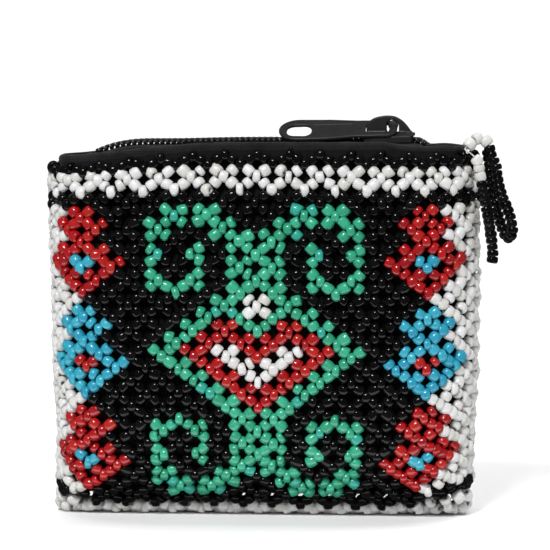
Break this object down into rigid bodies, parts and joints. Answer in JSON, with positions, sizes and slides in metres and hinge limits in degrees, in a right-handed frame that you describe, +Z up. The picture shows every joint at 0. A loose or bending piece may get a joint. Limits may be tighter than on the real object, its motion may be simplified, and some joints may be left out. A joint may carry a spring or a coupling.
{
  "type": "beaded zip coin purse",
  "caption": "Small pillow-shaped zip purse in a netted seed-bead cover, with a coil zip, slider and pull tab, and hanging bead strings at one corner.",
  "frame": {"origin": "centre of the flat strip that the purse stands on", "axes": "+X along the width, to the wearer's right as the decorated front is seen; +Y from the front to the back; +Z up, towards the zip"},
  "size_m": [0.1033, 0.027, 0.0878],
  "materials": {
    "bead_netting": "netted opaque glass seed beads: black ground, green scrolls, red and green diamond, white side panels with red and blue rosettes",
    "pouch_fabric": "matt black woven lining cloth",
    "zip_tape": "black woven polyester zip tape",
    "zip_coil": "black nylon monofilament coil",
    "painted_zinc": "satin black paint on die-cast zinc",
    "thread": "white beading thread",
    "white_beads": "opaque glossy white glass seed beads",
    "black_beads": "opaque glossy black glass seed beads",
    "green_beads": "opaque satin jade-green glass seed beads",
    "red_beads": "bright red glass seed beads, some a little clear",
    "blue_beads": "opaque light blue glass seed beads"
  },
  "bodies": {
    "purse": {"bead_cover": "bead_netting", "fabric_pouch": "pouch_fabric", "zip_tape_front": "zip_tape", "zip_tape_back": "zip_tape", "zip_coil_front": "zip_coil", "zip_coil_back": "zip_coil", "zip_stop_left": "painted_zinc", "zip_stop_right": "painted_zinc", "string_knot": "thread", "string_crest": "white_beads"},
    "slider": {"slider_body": "painted_zinc"},
    "tab": {"pull_tab": "painted_zinc"},
    "front_string": {"string_front": "black_beads"},
    "loop_string": {"string_loop": "black_beads"}
  },
  "joints": [
    {"name": "slider_slide", "type": "slide", "parent": "purse", "child": "slider", "axis": [-1, 0, 0], "range_m": [-0.0018, 0.046]},
    {"name": "tab_hinge", "type": "hinge", "parent": "slider", "child": "tab", "pos_m": [0.0286, 0, 0.0857], "axis": [0, 1, 0], "range_deg": [0, 150]},
    {"name": "front_string_swing", "type": "hinge", "parent": "purse", "child": "front_string", "pos_m": [0.0451, -0.007, 0.0805], "axis": [0, -1, 0], "range_deg": [0, 60]},
    {"name": "loop_string_swing", "type": "hinge", "parent": "purse", "child": "loop_string", "pos_m": [0.0479, -0.0031, 0.0833], "axis": [0, -1, 0], "range_deg": [0, 60]}
  ]
}
